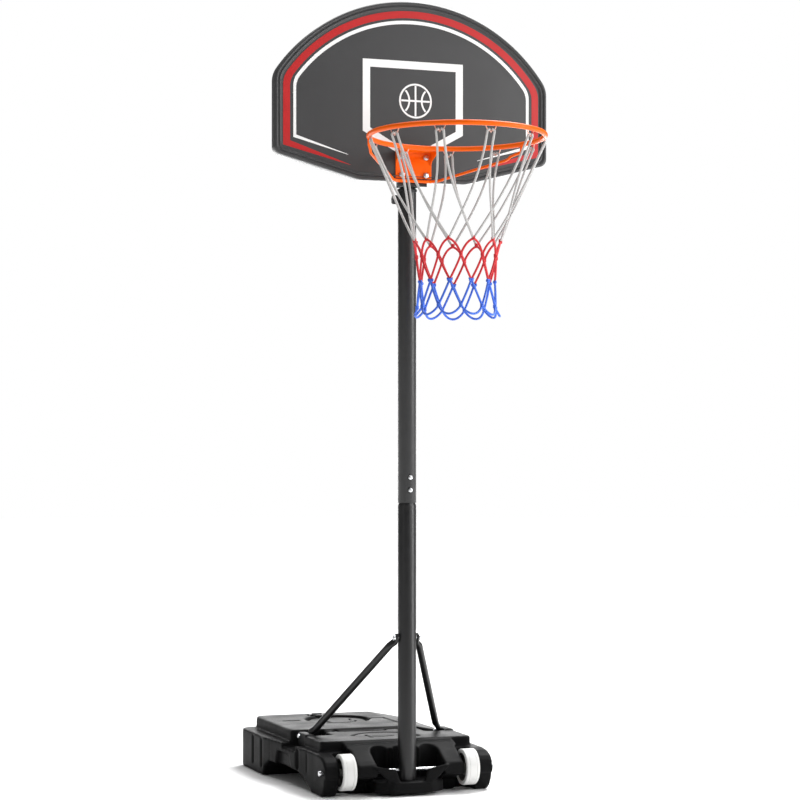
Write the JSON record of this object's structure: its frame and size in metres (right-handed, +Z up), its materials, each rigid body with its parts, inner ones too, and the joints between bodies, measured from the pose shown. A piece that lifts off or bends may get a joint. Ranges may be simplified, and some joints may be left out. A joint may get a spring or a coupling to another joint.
{
  "type": "portable basketball hoop",
  "caption": "Height-adjustable portable basketball hoop with backboard, rim, net, braced pole and a wheeled ballast base.",
  "frame": {"origin": "centre of the whole hoop's footprint, on the floor", "axes": "+Z up the pole; the board faces -Y, the ballast base reaches towards +Y; X is the wheel axle's direction"},
  "size_m": [0.7, 1.2, 1.925],
  "materials": {
    "black_hdpe": "moulded black polyethylene, satin",
    "board": "moulded dark grey plastic, satin",
    "black_steel": "black powder coat on steel tube",
    "orange": "orange powder coat on steel rod and plate",
    "zinc": "bright zinc plated steel",
    "tyre": "white moulded plastic tread",
    "hub": "dark grey moulded plastic",
    "net": "braided white, red and blue nylon cord",
    "rubber": "black rubber"
  },
  "bodies": {
    "base": {"base_tank": "black_hdpe", "axle_rod": "zinc", "axle_cap_left": "zinc", "axle_cap_right": "zinc", "lower_pole": "black_steel", "upper_pole": "black_steel", "pole_foot_plug": "black_hdpe", "pole_collar": "black_hdpe", "joint_bolt_lower": "zinc", "joint_bolt_upper": "zinc", "joint_nut_lower": "zinc", "joint_nut_upper": "zinc", "strut_left": "black_steel", "strut_right": "black_steel", "strut_top_bolt": "zinc", "strut_top_nut": "zinc", "strut_foot_bolt_left": "zinc", "strut_foot_bolt_right": "zinc", "strut_foot_nut_left": "zinc", "strut_foot_nut_right": "zinc", "lock_nut": "black_steel"},
    "head": {"inner_tube": "black_steel", "tube_cap": "black_hdpe", "lower_pole_bracket": "black_steel", "upper_pole_bracket": "black_steel", "lower_cross_bolt": "zinc", "lower_cross_nut": "zinc", "upper_cross_bolt": "zinc", "upper_cross_nut": "zinc", "backboard": "board", "board_screw_left": "zinc", "board_screw_right": "zinc", "rim_ring": "orange", "rim_bracket": "orange", "rim_brace": "orange", "rim_bolt_lower_left": "zinc", "rim_bolt_lower_right": "zinc", "rim_bolt_upper_left": "zinc", "rim_bolt_upper_right": "zinc", "rim_nut_lower_left": "zinc", "rim_nut_lower_right": "zinc", "rim_nut_upper_left": "zinc", "rim_nut_upper_right": "zinc", "net": "net"},
    "left_wheel": {"wheel_tyre_left": "tyre", "wheel_hub_left": "hub"},
    "right_wheel": {"wheel_tyre_right": "tyre", "wheel_hub_right": "hub"},
    "lock": {"lock_knob": "black_hdpe", "lock_screw": "zinc"},
    "cap": {"filler_cap": "black_hdpe", "filler_gasket": "rubber"}
  },
  "joints": [
    {"name": "height_slide", "type": "slide", "parent": "base", "child": "head", "axis": [0, 0, 1], "range_m": [0, 0.55]},
    {"name": "left_wheel_spin", "type": "hinge", "parent": "base", "child": "left_wheel", "pos_m": [-0.1585, -0.05005, 0.0586], "axis": [1, 0, 0], "continuous": true},
    {"name": "right_wheel_spin", "type": "hinge", "parent": "base", "child": "right_wheel", "pos_m": [0.1585, -0.05005, 0.0586], "axis": [1, 0, 0], "continuous": true},
    {"name": "lock_knob_turn", "type": "hinge", "parent": "base", "child": "lock", "pos_m": [-0.0225, -0.05005, 1.45], "axis": [-1, 0, 0], "range_deg": [-360, 0]},
    {"name": "filler_cap_turn", "type": "hinge", "parent": "base", "child": "cap", "pos_m": [-0.045, 0.54995, 0.1245], "axis": [0, 0, 1], "range_deg": [0, 360]}
  ]
}
